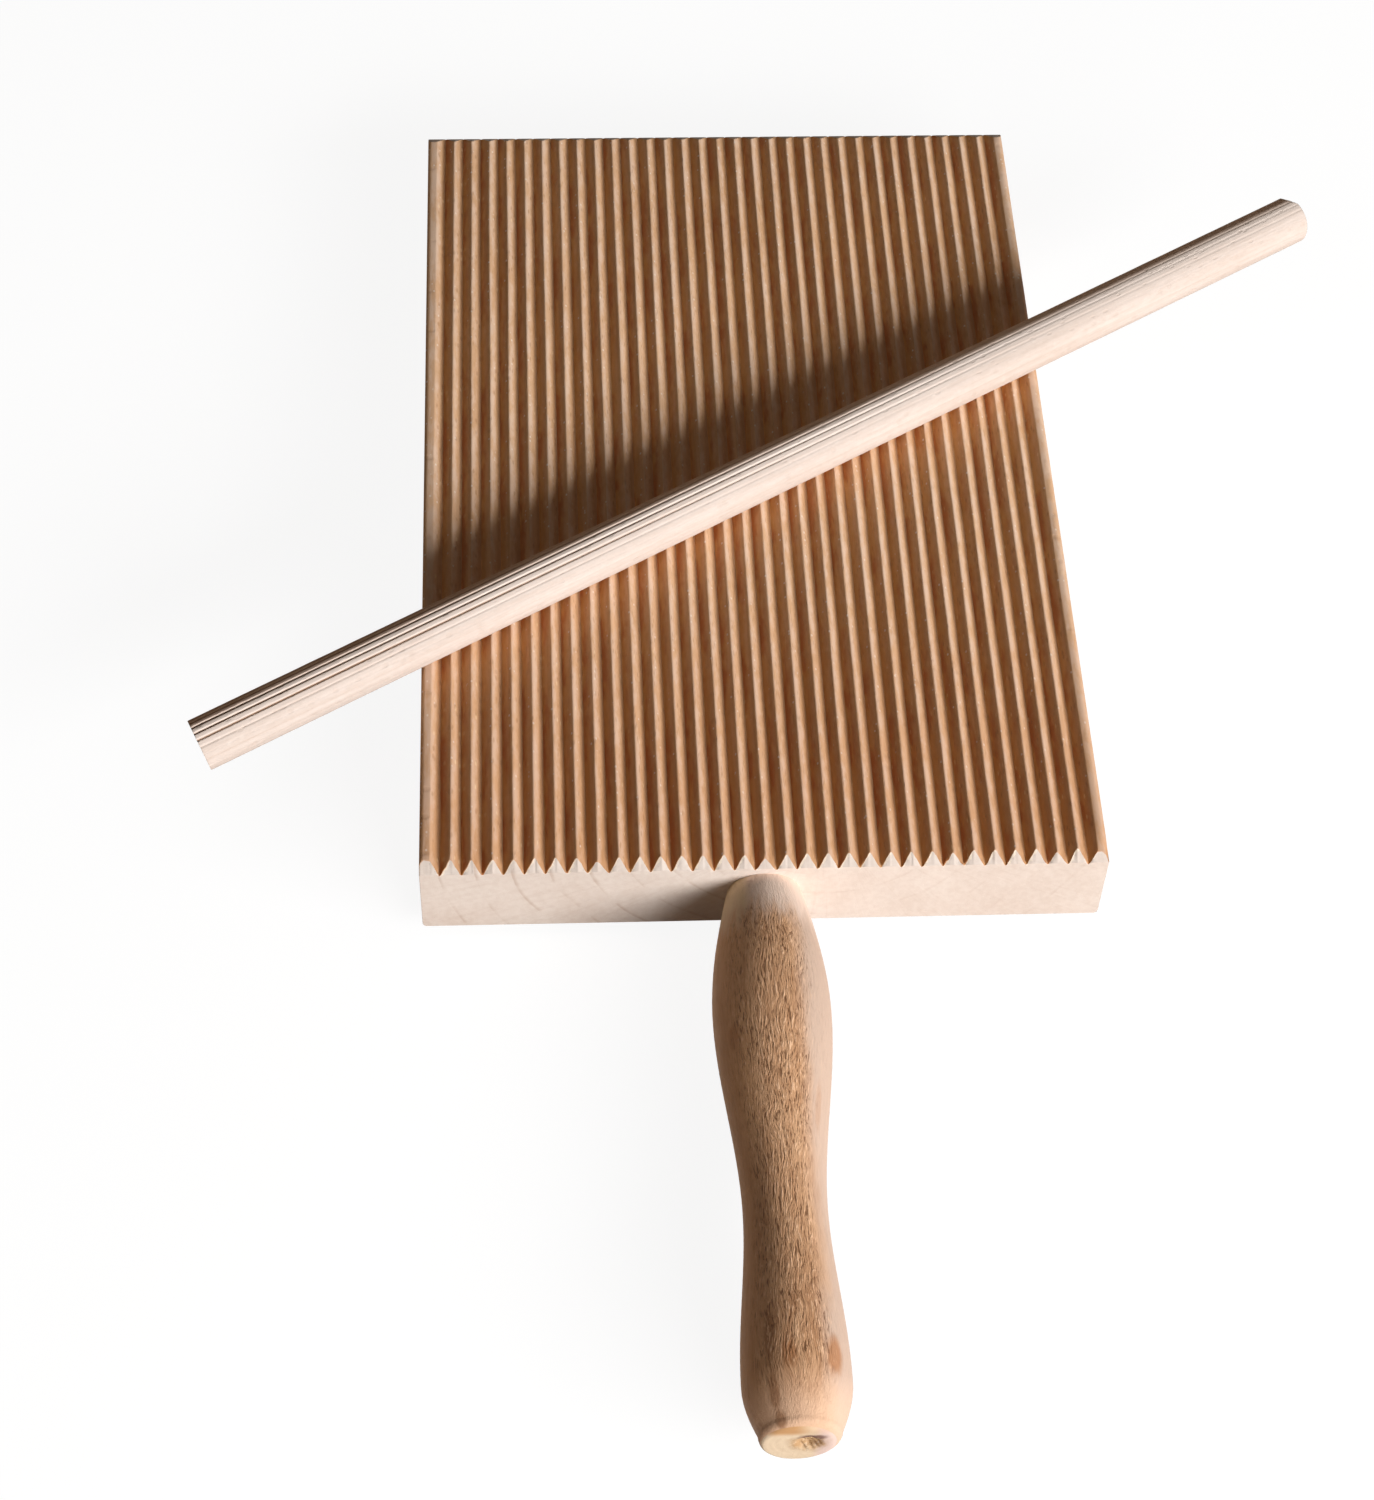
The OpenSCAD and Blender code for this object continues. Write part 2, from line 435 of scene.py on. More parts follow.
    def finish(self, colour, roughness, height, bump, specular):
        normal = self.add("ShaderNodeBump", {"Height": height, "Distance": bump * MM}).outputs[0]
        inputs = {
            "Base Color": colour,
            "Roughness": roughness,
            "Normal": normal,
            "Specular IOR Level": specular,
        }
        shader = self.add("ShaderNodeBsdfPrincipled", inputs).outputs[0]
        self.add("ShaderNodeOutputMaterial", {"Surface": shader})
        return self.owner


# Kinds of beech surface


def rings(nodes, place, pith, gap):
    """Growth rings round a pith line: coordinates along rays and rings, thin late wood, ray direction."""
    x, y, z = nodes.split(place)
    across = nodes.math("SUBTRACT", x, pith[0])
    up = nodes.math("SUBTRACT", z, pith[1])
    flat = nodes.combined(across, z=up)
    length = nodes.vector("LENGTH", flat, result="Value")
    outward = nodes.vector("NORMALIZE", flat)
    sway = nodes.noise(place, (0.03, 0.004, 0.03), 2.0)
    radius = nodes.math("MULTIPLY_ADD", sway, gap * 0.9, length)
    phase = nodes.math("FRACT", nodes.math("DIVIDE", radius, gap))
    late = nodes.product(nodes.spread(phase, 0.84, 0.95), nodes.spread(phase, 0.95, 0.99, 1.0, 0.0))
    arc = nodes.math("MULTIPLY", nodes.math("ARCTAN2", across, up), math.hypot(*pith))
    return nodes.combined(arc, y, radius), late, outward


def long_grain(
    name, pale, deep, fleck, pith, gap, extra, dash_depth, flake_depth, light_share,
    specular=0.15, turn=0.0,
):
    """Beech cut along the grain: growth rings, fibre streaks, and rays seen end on as dark dashes."""
    nodes = Nodes(bpy.data.materials.new(name))
    place = nodes.wood_place(turn)
    polar, late, outward = rings(nodes, place, pith, gap)
    streak = nodes.noise(place, (1.1, 0.03, 1.1), 4.0, 0.6)
    fibre = nodes.noise(place, (6.0, 0.25, 6.0), 2.0, 0.6)
    mottle = nodes.noise(place, (1.4, 0.45, 1.4), 3.0, 0.65)
    cloud = nodes.noise(place, (0.06, 0.02, 0.06), 2.0)
    tone = nodes.total(
        (nodes.full(streak), 0.45), (late, 0.25), (nodes.full(cloud), 0.3), (nodes.full(mottle), 0.3),
    )
    colour = extra(nodes, place, nodes.mix(tone, pale, deep))

    # Dark dashes and lighter flakes where rays end in the surface
    ray_scale = tuple(1 / side for side in RAY_SIZE)
    dashes = nodes.spots(polar, ray_scale, 0.14, 0.34, 0.5)
    shifted = nodes.vector("ADD", polar, (0.31, 0.9, 5.0))
    lights = nodes.spots(shifted, ray_scale, 0.1, 0.3, light_share)
    depth = nodes.spread(nodes.facing(outward), 0.35, 0.85, flake_depth, dash_depth)
    bright = tuple(min(1.0, 1.45 * c + 0.03) for c in pale)
    colour = nodes.paint(colour, fleck, dashes, depth)
    colour = nodes.paint(colour, bright, lights, depth)

    height = nodes.total((streak, 0.4), (fibre, 0.5), (mottle, 0.5), (dashes, -0.8), (lights, 0.3))
    roughness = nodes.spread(fibre, 0.2, 0.8, 0.61, 0.77)
    return nodes.finish(colour, roughness, height, 0.06, specular)


def end_grain(name, pale, deep, pith, gap, ring_depth=0.7, turn=0.0, extra=None):
    """Beech cut across the grain, with arcs of growth rings, radial rays and fine pores."""
    nodes = Nodes(bpy.data.materials.new(name))
    place = nodes.wood_place(turn)
    polar, late, _ = rings(nodes, place, pith, gap)
    rays = nodes.noise(polar, (2.2, 0.2, 0.1), 2.0, 0.6)
    cloud = nodes.noise(place, (0.07, 0.07, 0.07), 3.0)
    mottle = nodes.noise(place, (0.9, 0.9, 0.9), 3.0, 0.6)
    broken = nodes.spread(nodes.noise(place, (0.16, 0.3, 0.16), 2.0), 0.38, 0.6)
    fade = nodes.spread(nodes.split(place)[0], -22.0, 4.0, ring_depth, 0.3 * ring_depth)
    tone = nodes.total(
        (nodes.product(late, broken, fade), 1.0), (nodes.full(cloud), 0.2),
        (nodes.full(mottle), 0.16), (nodes.spread(rays, 0.5, 0.75), 0.1),
    )
    pores = nodes.spots(place, (2.4, 0.5, 2.4), 0.08, 0.22, 0.6)
    pore_colour = tuple(0.6 * c for c in deep)
    colour = nodes.paint(nodes.mix(tone, pale, deep), pore_colour, pores, 0.15)
    if extra:
        colour = extra(nodes, place, colour)
    saw = nodes.noise(place, (0.2, 1.0, 3.5), 2.0, 0.5)
    height = nodes.total((mottle, 0.5), (saw, 0.5), (pores, -0.4))
    roughness = nodes.spread(cloud, 0.2, 0.8, 0.72, 0.86)
    return nodes.finish(colour, roughness, height, 0.07, 0.12)


# Marks, painted light and painted shade on the board


def paint_valley_shade(nodes, place, colour, level):
    """Painted shade: deepens and saturates the colour low in the valleys, less so on the slopes that are
    lit.
    """
    turned, _, facing = nodes.split(nodes.normal())
    shade_noise = nodes.noise(place, (0.35, 0.07, 0.35), 3.0, 0.65)
    deep = nodes.mix(nodes.spread(shade_noise, 0.42, 0.6), VALLEY_SHADE_PALE, VALLEY_SHADE_DEEP)
    deep = nodes.mix(nodes.spread(turned, -0.1, 0.4), deep, VALLEY_SHADE_LIT_SLOPE)
    low = nodes.spread(level, SOLID_T + 0.1, SOLID_T + 0.95 * GROOVE_DEPTH, 1.0, 0.0)
    patchy = nodes.spread(shade_noise, 0.35, 0.62, 0.5, 0.95)
    unlit = nodes.spread(turned, -0.1, 0.4, 1.0, 0.5)
    upward = nodes.spread(facing, 0.1, 0.5)
    return nodes.paint(colour, deep, low, patchy, unlit, upward)


def ridge_wear_and_painted_light(nodes, place, colour):
    """Paler planed sides, pale crests that are partly worn wood and partly a painted highlight, painted
    shade in the valleys and towards the near end, and pale torn specks along the ridges.
    """
    _, y, z = nodes.split(place)
    turned, _, facing = nodes.split(nodes.normal())
    colour = nodes.paint(colour, PLANED_SIDE, nodes.spread(facing, 0.1, 0.5, 1.0, 0.0), 0.7)
    wobble = nodes.noise(place, (0.7, 0.3, 0.7), 3.0, 0.65)
    level = nodes.math("MULTIPLY_ADD", nodes.math("SUBTRACT", wobble, 0.5), 1.3, z)
    colour = paint_valley_shade(nodes, place, colour, level)
    # Pale crests, partly worn wood and partly a painted highlight kept to the slopes that face the lamp
    top = nodes.spread(level, BOARD_T - 1.15, BOARD_T - 0.25)
    worn = nodes.spread(nodes.noise(place, (0.5, 0.16, 0.5), 3.0, 0.65), 0.35, 0.62, 0.25, 0.85)
    lit = nodes.spread(turned, -0.4, 0.0, 0.1, 1.0)
    colour = nodes.paint(colour, CREST_WEAR_AND_HIGHLIGHT, top, worn, lit)
    specks = nodes.spots(place, (0.9, 0.6, 0.9), 0.1, 0.22, 0.4)
    high = nodes.spread(z, SOLID_T + 0.4 * GROOVE_DEPTH, BOARD_T - 0.5)
    colour = nodes.paint(colour, TORN_SPECK, specks, high)
    # Painted shade, darker towards the near end
    near = nodes.spread(y, NEAR_Y, 0.0, 1.0, 0.0)
    return nodes.mix(near, colour, NEAR_SHADE, "MULTIPLY")


def frayed_teeth(nodes, place, colour):
    """Pale torn fibres along the left slope of each tooth, where the cutter left the wood."""
    x, _, z = nodes.split(place)
    from_valley = nodes.math("SUBTRACT", x, FIRST_VALLEY)
    phase = nodes.math("FRACT", nodes.math("DIVIDE", from_valley, GROOVE_PITCH))
    rise = GROOVE_PITCH * GROOVE_DEPTH / (GROOVE_W / 2)
    slope = nodes.math("MULTIPLY_ADD", phase, rise, SOLID_T)
    tears = nodes.noise(place, (1.6, 0.6, 1.6), 3.0, 0.7)
    below_slope = nodes.math("MULTIPLY_ADD", tears, 1.4, nodes.math("SUBTRACT", slope, z))
    fringe = nodes.spread(below_slope, 0.95, 1.3, 0.95, 0.0)
    left = nodes.math("LESS_THAN", phase, 0.52)
    inside = nodes.math("GREATER_THAN", from_valley, 0.0)
    return nodes.paint(colour, TOOTH_FRINGE, fringe, left, inside)


# Marks, painted sheen, painted highlights and painted shade on the handle


def ragged_along(nodes, place):
    """Place along the handle, so uneven that an edge across the grain looks frayed."""
    frays = nodes.noise(place, (0.8, 0.07, 0.8), 3.0, 0.6)
    return nodes.math("MULTIPLY_ADD", frays, 12.0, nodes.split(place)[1])


def on_handle(along, degrees):
    """Point of the handle's surface at a distance from the board and an angle round the axis."""
    r = float(handle_radius(np.array(along)))
    turn = math.radians(degrees)
    return r * math.cos(turn), NEAR_Y - along, HANDLE_Z + r * math.sin(turn)


def tick_band(nodes, place, outward):
    """Where the handle shows ticks: on its top, not on its lit right side, and hardly at its ends."""
    top = nodes.spread(nodes.facing(outward), 0.5, 0.85, 0.1, 1.0)
    unlit = nodes.spread(nodes.split(nodes.normal())[0], 0.42, 0.7, 1.0, 0.15)
    off_neck = nodes.spread(ragged_along(nodes, place), NEAR_Y - 8.0, NEAR_Y - 0.5, 1.0, 0.15)
    off_tip = nodes.spread(nodes.split(place)[1], TIP_Y + 3.0, TIP_Y + 14.0, 0.15, 1.0)
    patchy = nodes.spread(nodes.noise(place, (0.3, 0.09, 0.3), 2.0), 0.32, 0.55, 0.5, 1.0)
    return nodes.product(top, unlit, off_neck, off_tip, patchy)


def handle_marks(nodes, place, colour):
    """Painted shade browning the left side, a painted sheen paling the right side, a pale rubbed neck, a
    bare tip, and stains.
    """
    x, y, _ = nodes.split(place)
    edge_wobble = nodes.noise(place, (0.14, 0.04, 0.14), 3.0, 0.6)
    side = nodes.math("MULTIPLY_ADD", edge_wobble, 5.0, x)
    # Painted shade browns the left side and a painted sheen pales the right side
    colour = nodes.paint(colour, LEFT_SHADE, nodes.spread(side, -4.5, -1.0, 0.5, 0.0))
    colour = nodes.paint(colour, RIGHT_SHEEN, nodes.spread(side, 5.0, 9.0, 0.0, 0.8))
    rubbed = nodes.spread(ragged_along(nodes, place), NEAR_Y - 7.0, NEAR_Y + 2.5)
    colour = nodes.paint(colour, NECK_RUB, rubbed, 0.9)
    colour = nodes.paint(colour, NECK_LEFT, rubbed, nodes.spread(x, -4.5, -2.5, 0.6, 0.0))
    worn_along = nodes.math("MULTIPLY_ADD", edge_wobble, 8.0, y)
    colour = nodes.paint(colour, BARE_TIP, nodes.spread(worn_along, TIP_Y + 6.0, TIP_Y + 15.0, 0.6, 0.0))
    for tint, along, degrees, size, strength in STAINS:
        mark = nodes.spot(place, on_handle(along, degrees), size)
        colour = nodes.paint(colour, tint, mark, strength)
    return colour


def turned_grain():
    """Turned beech: dense dark ticks on top, where the rays end, pale ticks painted as highlights between
    them, and smoother sides.
    """
    nodes = Nodes(bpy.data.materials.new("handle_wood"))
    place = nodes.wood_place(0.0)
    _, late, outward = rings(nodes, place, HANDLE_PITH, HANDLE_RING_GAP)
    sway = nodes.math("MULTIPLY", nodes.noise(place, (0.25, 0.12, 0.25), 2.0), 2.5)
    bent = nodes.vector("ADD", place, nodes.combined(sway))
    streak = nodes.noise(bent, (1.0, 0.03, 1.0), 4.0, 0.6)
    fibre = nodes.noise(bent, (4.5, 0.5, 4.5), 2.0, 0.6)
    mottle = nodes.noise(place, (0.5, 0.16, 0.5), 3.0, 0.6)
    cloud = nodes.noise(place, (0.06, 0.02, 0.06), 2.0)
    tone = nodes.total(
        (nodes.full(streak), 0.45), (late, 0.25), (nodes.full(cloud), 0.25), (nodes.full(mottle), 0.35),
    )
    colour = handle_marks(nodes, place, nodes.mix(tone, HANDLE_PALE, HANDLE_DEEP))
    ticks = nodes.noise(bent, (3.3, 0.4, 3.3), 2.0, 0.65)
    band = tick_band(nodes, place, outward)
    colour = nodes.paint(colour, TICK_DARK, nodes.spread(ticks, 0.56, 0.63), band, 0.85)
    # Pale ticks are painted highlights on the raised wood between the dark ticks
    colour = nodes.paint(colour, TICK_HIGHLIGHT, nodes.spread(ticks, 0.34, 0.43, 1.0, 0.0), band, 0.65)
    relief = nodes.product(nodes.math("SUBTRACT", 0.5, ticks), band)
    height = nodes.total((streak, 0.4), (fibre, 0.6), (relief, 2.4))
    roughness = nodes.spread(fibre, 0.2, 0.8, 0.52, 0.68)
    return nodes.finish(colour, roughness, height, 0.16, 0.2)


def torn_centre_and_shade(nodes, place, colour):
    """Pinker right side, painted shade along the upper rim, brown torn fibres round the lathe centre's
    mark, and a painted shadow in the upper part of its pit.
    """
    x, _, z = nodes.split(place)
    colour = nodes.paint(colour, TIP_PINK, nodes.spread(x, 1.5, 3.5, 0.0, 0.9))
    # Painted shade along the upper rim of the end face
    rim = nodes.spread(z, HANDLE_Z + 2.4, HANDLE_Z + 4.2)
    colour = nodes.paint(colour, TIP_RIM_SHADE, rim, nodes.spread(x, -1.5, 2.0, 1.0, 0.35), 0.85)
    mark = nodes.spot(place, (PIT_X, TIP_Y, HANDLE_Z), (PIT_R + 0.5, 3.0, PIT_R + 0.2))
    speckle = nodes.noise(place, (1.5, 0.6, 1.5), 3.0, 0.7)
    colour = nodes.paint(colour, PIT_BROWN, mark, nodes.spread(speckle, 0.3, 0.55, 0.45, 0.95))
    # Painted shadow in the upper part of the pit
    pit_shadow = nodes.spot(place, (PIT_X + 0.6, TIP_Y, HANDLE_Z + 2.1), (2.3, 3.0, 0.9))
    return nodes.paint(colour, PIT_SHADOW, pit_shadow, 0.85)


# Painted light and painted shade on the rod


def paint_rod_light_and_shade(nodes, place, colour):
    """Painted light on the top, painted shade on the back, and painted shade in the bottoms of the
    flutes, most at the rod's left end.
    """
    x, y, z = nodes.split(place)
    middle = Matrix.Rotation(ROD_TURN, 3, "Z") @ Vector(ROD_MIDDLE)
    across = nodes.math("SUBTRACT", x, middle[0])
    up = nodes.math("SUBTRACT", z, middle[2])
    radius = nodes.vector("LENGTH", nodes.combined(across, up), result="Value")
    share = nodes.math("DIVIDE", across, ROD_R)
    # Painted light, paler over the top and back
    colour = nodes.paint(colour, ROD_TOP_LIGHT, nodes.spread(share, -0.4, 0.8, 0.95, 0.0))
    # Painted shade, browner on the back
    colour = nodes.paint(colour, ROD_BACK_SHADE, nodes.spread(share, -0.55, 0.05, 0.9, 0.0))
    # Painted shade in the bottoms of the flutes
    low = nodes.spread(radius, ROD_R - 0.38, ROD_R - 0.1, 0.95, 0.0)
    left = nodes.spread(y, middle[1] - ROD_L / 2, middle[1] + ROD_L / 4, 1.0, 0.04)
    off_front = nodes.spread(share, 0.45, 0.85, 1.0, 0.1)
    off_back = nodes.spread(share, -0.62, -0.4, 0.1, 1.0)
    return nodes.paint(colour, FLUTE_SHADE, low, left, off_front, off_back)


# Materials of the three pieces


board_wood = long_grain(
    "board_wood", BOARD_PALE, BOARD_DEEP, BOARD_FLECK, BOARD_PITH, BOARD_RING_GAP, ridge_wear_and_painted_light,
    dash_depth=0.35, flake_depth=0.12, light_share=0.2,
)
board_end = end_grain(
    "board_end", FACE_PALE, FACE_DEEP, BOARD_PITH, BOARD_RING_GAP, ring_depth=0.45, extra=frayed_teeth,
)
handle_wood = turned_grain()
handle_end = end_grain(
    "handle_end", TIP_PALE, TIP_DEEP, HANDLE_PITH, HANDLE_RING_GAP, ring_depth=0.15, extra=torn_centre_and_shade,
)
rod_wood = long_grain(
    "rod_wood", ROD_PALE, ROD_DEEP, ROD_FLECK, ROD_PITH, ROD_RING_GAP, paint_rod_light_and_shade,
    dash_depth=0.1, flake_depth=0.1, light_share=0.1, specular=0.04, turn=ROD_TURN,
)
rod_end = end_grain("rod_end", SAWN_PALE, SAWN_DEEP, ROD_PITH, ROD_RING_GAP, turn=ROD_TURN)


# Board


def groove_depth_at(x):
    """Depth below the crests across the board, with eased crests and valleys."""
    crest_ease = 0.12
    valley_ease = 0.06
    k = np.clip(np.round((x - FIRST_VALLEY) / GROOVE_PITCH), 0, GROOVE_COUNT - 1)
    u = np.sqrt((x - FIRST_VALLEY - k * GROOVE_PITCH) ** 2 + valley_ease ** 2)
    depth = GROOVE_DEPTH * (1 - u / (GROOVE_W / 2))
    return (depth + np.sqrt(depth ** 2 + crest_ease ** 2)) / 2


def ridge_top(x, y):
    """Height of the grooved top, with slightly wandering cutter marks and torn ends."""
    k = np.round((x - FIRST_VALLEY) / GROOVE_PITCH - 0.5)
    slow_wander = 0.05 * ripple(SLOW_WANDER, k * 0.37, y / 90)
    quick_wander = 0.025 * ripple(QUICK_WANDER, k * 0.61, y / 11)
    z = BOARD_T - groove_depth_at(x + (slow_wander + quick_wander))
    slow_wear = 0.045 * ripple(SLOW_WEAR, k * 0.73, y / 26)
    quick_wear = 0.03 * ripple(QUICK_WEAR, k * 0.29, y / 5)
    z -= np.clip(0.05 + slow_wear + quick_wear, 0.0, MOST_WEAR)
    tear = np.clip(ripple(RIDGE_TEARS, k * 0.83, k * 0.11), 0.0, 1.0)
    ends = np.exp(-(y - NEAR_Y) / 2.4) + 0.6 * np.exp(-(FAR_Y - y) / 2.0)
    z -= TEAR_DEPTH * tear * ends * ease((z - SOLID_T) / GROOVE_DEPTH)
    z -= FRAY_DEPTH * (1 + ripple(END_TEARS, x / 1.1, y / 2.5)) * np.exp(-(y - NEAR_Y) / 1.6)
    corner = np.exp(-(((x - BOARD_W / 2) / 2.6) ** 2) - ((y - NEAR_Y) / 4.0) ** 2)
    return z - CORNER_DENT * corner


def edge_drop(x):
    """How far the rounded long edges lie below the crests. The left edge is the sharper one."""
    radius = np.where(x < 0, LEFT_EDGE_R, UPPER_EDGE_R)
    inside = np.clip(radius - (BOARD_W / 2 - np.abs(x)), 0.0, radius)
    return radius - np.sqrt(np.maximum(radius ** 2 - inside ** 2, 0.0))


def bevel_inset(z):
    """How far the bevel sets a point of the top back from the board's end."""
    return END_BEVEL_RUN * np.clip((z - BRINK_Z) / END_BEVEL_DROP, 0.0, 1.0)


def section_places():
    """Places across the board, dense where crests, flanks and valleys turn."""
    half = GROOVE_W / 2
    offsets = np.array([0.0, 0.08, 0.22, 0.6, 1.05, 1.4, half - 0.08, half + 0.04, GROOVE_PITCH / 2])
    offsets = np.concatenate([-offsets[:0:-1], offsets[:-1]])
    valleys = FIRST_VALLEY + GROOVE_PITCH * np.arange(GROOVE_COUNT)
    inner = (valleys[:, None] + offsets).ravel()
    edge = BOARD_W / 2 - UPPER_EDGE_R * (1 - np.sin(np.linspace(0, math.pi / 2, 6)))
    first = inner[-1] + 0.12
    right = np.concatenate([[first], edge[edge > first]])
    return np.concatenate([-right[::-1], inner, right])


def top_points(ys, eased):
    """Points of the grooved top, from the near bevel to the far one."""
    xs = section_places()
    drop = edge_drop(xs)
    near = NEAR_Y + bevel_inset(ridge_top(xs, NEAR_Y + 1.0) - drop)
    far = FAR_Y - bevel_inset(ridge_top(xs, FAR_Y - 1.0) - drop)
    along = (ys - NEAR_Y) / (FAR_Y - NEAR_Y)
    y = near + (far - near) * along[:, None]
    z = ridge_top(xs + 0 * y, y) - drop - eased
    return np.stack([xs * (1 - 2 * eased / BOARD_W), y, z], -1)


def side_points(sign, ys, eased):
    """Points of one long side, from just under its upper edge down round its lower edge."""
    arc = np.linspace(0, math.pi / 2, 5)[1:]
    wall_z = np.concatenate([[BRINK_Z], np.linspace(STRIP_Z, LOWER_EDGE_R, 4)])
    side_z = np.concatenate([wall_z, LOWER_EDGE_R * (1 - np.sin(arc))])
    side_x = np.concatenate([np.full(len(wall_z), BOARD_W / 2), UNDER_X + LOWER_EDGE_R * np.cos(arc)])
    x = sign * (side_x - eased)
    return np.stack([x, ys[:, None] + 0 * x, np.maximum(side_z, eased)], -1)


def under_points(ys, eased):
    """Inner points of the flat underside, for a few wide strips."""
    x = np.linspace(-UNDER_X, UNDER_X, 9)[1:-1] + 0 * eased
    return np.stack([x, ys[:, None] + 0 * x, eased + 0 * x], -1)


def close_end(shell, y, flip, points, top, left, right, under):
    """End of the board: the bevel, a strip of the end face, and one polygon down to the underside."""
    x = points[1:-1, 0]
    end_y = np.full(len(x), y)
    brink_z = np.minimum(points[1:-1, 2] - LEAST_BEVEL, BRINK_Z)
    brink = shell.add(np.stack([x, end_y, brink_z], -1))
    strip = shell.add(np.stack([x, end_y, np.full(len(x), STRIP_Z)], -1))
    brink = np.concatenate([left[1:2], brink, right[1:2]])
    strip = np.concatenate([left[2:3], strip, right[2:3]])
    shell.grid(np.stack([top, brink, strip]), 1, flip)
    outline = [*strip, *right[3:], *under[-2:0:-1], *left[:2:-1]]
    shell.face(outline[::-1] if flip else outline, 1)


def build_board():
    """Grooved top, bevelled ends of end grain, sides and underside as one closed mesh."""
    shell = Shell()
    ys = stations(NEAR_Y, FAR_Y, BOARD_STEP)
    eased = np.zeros((len(ys), 1))
    eased[[0, -1]] = END_EASE
    points = top_points(ys, eased)
    top = shell.add(points)
    shell.grid(top)
    sides = []
    for sign, edge in ((-1, top[:, :1]), (1, top[:, -1:])):
        side = np.concatenate([edge, shell.add(side_points(sign, ys, eased))], 1)
        shell.grid(side, flip=sign < 0)
        sides.append(side)
    left, right = sides
    under = np.concatenate([left[:, -1:], shell.add(under_points(ys, eased)), right[:, -1:]], 1)
    shell.grid(under, flip=True)
    for row, y, flip in ((0, NEAR_Y, True), (-1, FAR_Y, False)):
        close_end(shell, y, flip, points[row], top[row], left[row], right[row], under[row])
    return shell.mesh("ridged_board", [board_wood, board_end], SHARP_DEGREES)


def bore_cutter():
    """Cylinder as wide and deep as the bore, which starts outside the board."""
    shell = Shell()
    angles = np.linspace(0, 2 * math.pi, BORE_SIDES, endpoint=False)
    x, z = BORE_R * np.cos(angles), HANDLE_Z + BORE_R * np.sin(angles)
    ends = []
    for y in (NEAR_Y - BORE_OVERRUN, NEAR_Y + BORE_DEPTH):
        ends.append(shell.add(np.stack([x, np.full(len(x), y), z], -1)))
    shell.grid(np.stack(ends), closed=True, flip=True)
    shell.face(ends[0])
    shell.face(ends[1][::-1])
    return shell.mesh("bore_cutter", [board_wood], SHARP_DEGREES)


def cut_bore(board):
    """Cuts the blind bore for the tenon into the board's near end."""
    cutter = bore_cutter()
    cut = board.modifiers.new("bore", "BOOLEAN")
    cut.object = cutter
    cut.operation = "DIFFERENCE"
    cut.solver = "EXACT"
    bpy.context.view_layer.update()
    graph = bpy.context.evaluated_depsgraph_get()
    result = bpy.data.meshes.new_from_object(board.evaluated_get(graph))
    board.modifiers.clear()
    board.data = result
    result.set_sharp_from_angle(angle=math.radians(SHARP_DEGREES))
    bpy.data.objects.remove(cutter)


# Handle


def worn_radius(s, angles):
    """Radius of the turned body, with fine turning marks, uneven sanding and a ragged neck."""
    along = s[:, None] + 0 * angles
    turning = 0.014 * ripple(COARSE_TURNING, s / 1.7) + 0.01 * ripple(FINE_TURNING, s / 0.8)
    x, z = np.cos(angles)[None, :], np.sin(angles)[None, :]
    sanded = 0.035 * ripple(SANDING, x * 0.8, z * 0.8, along / 40)
    radius = handle_radius(along) - 0.05 + turning[:, None] + np.minimum(sanded, 0.03)
    around = angles / (2 * math.pi) + 0 * along
    return radius - 0.1 * np.exp(-along / 1.2) * (1 + ripple(NECK_TEARS, around * 3))


def face_depth(x, z, around):
    """Depth of the torn dimple and of the faint swirl in the handle's end face."""
    torn = 0.4 * ripple(PIT_TEARS, x / 1.6, z / 1.6)
    away = np.hypot(x - PIT_X, z)
    pit = ease((PIT_R + 0.3 * torn - away) / 1.6) * (1.0 + 0.9 * torn)
    swirl = 0.02 * (1 + ripple(SWIRL, np.hypot(x, z) / 1.3, around))
    return np.maximum(pit + swirl, 0)


def build_handle():
    """Tenon, turned body, rounded rim and dimpled end face as one closed mesh."""
    shell = Shell()
    angles = np.linspace(0, 2 * math.pi, HANDLE_SIDES, endpoint=False)
    even = np.ones(HANDLE_SIDES)
    body = stations(0.0, HANDLE_L - END_ROUND, HANDLE_STEP)
    radius = worn_radius(body, angles)

    # Each ring of points has a radius for every angle and one distance from the board
    profile = [
        ((TENON_R - TENON_BEVEL) * even, -TENON_L),
        (TENON_R * even, TENON_BEVEL - TENON_L),
        (TENON_R * even, 0.0),
    ]
    profile += zip(radius, body)
    rim_row = len(profile) + RIM_STEPS // 2
    rim = END_ROUND * (1 + 0.5 * np.cos(angles - 0.6))
    for turn in np.linspace(0, math.pi / 2, RIM_STEPS + 1)[1:]:
        inner = radius[-1] - rim * (1 - math.cos(turn))
        profile.append((inner, body[-1] + END_ROUND * math.sin(turn)))
    for share in np.linspace(1, 0, FACE_STEPS + 1)[1:-1]:
        profile.append(((radius[-1] - rim) * share, HANDLE_L))

    rows = []
    for r, along in profile:
        x, z = r * np.cos(angles), r * np.sin(angles)
        on_face = along >= HANDLE_L - 1e-6
        depth = face_depth(x, z, angles / (2 * math.pi)) if on_face else 0 * even
        rows.append(shell.add(np.stack([x, NEAR_Y - along + depth, HANDLE_Z + z], -1)))
    rows = np.stack(rows)
    shell.grid(rows[:rim_row + 1], 0, closed=True)
    shell.grid(rows[rim_row:], 1, closed=True)
    tip = shell.add([[0.0, TIP_Y + PIT_MIDDLE_DEPTH, HANDLE_Z]])[0]
    shell.fan(rows[-1], tip, 1)
    shell.face(rows[0][::-1], 1)
    return shell.mesh("turned_handle", [handle_wood, handle_end], HANDLE_SHARP_DEGREES)


# Rod


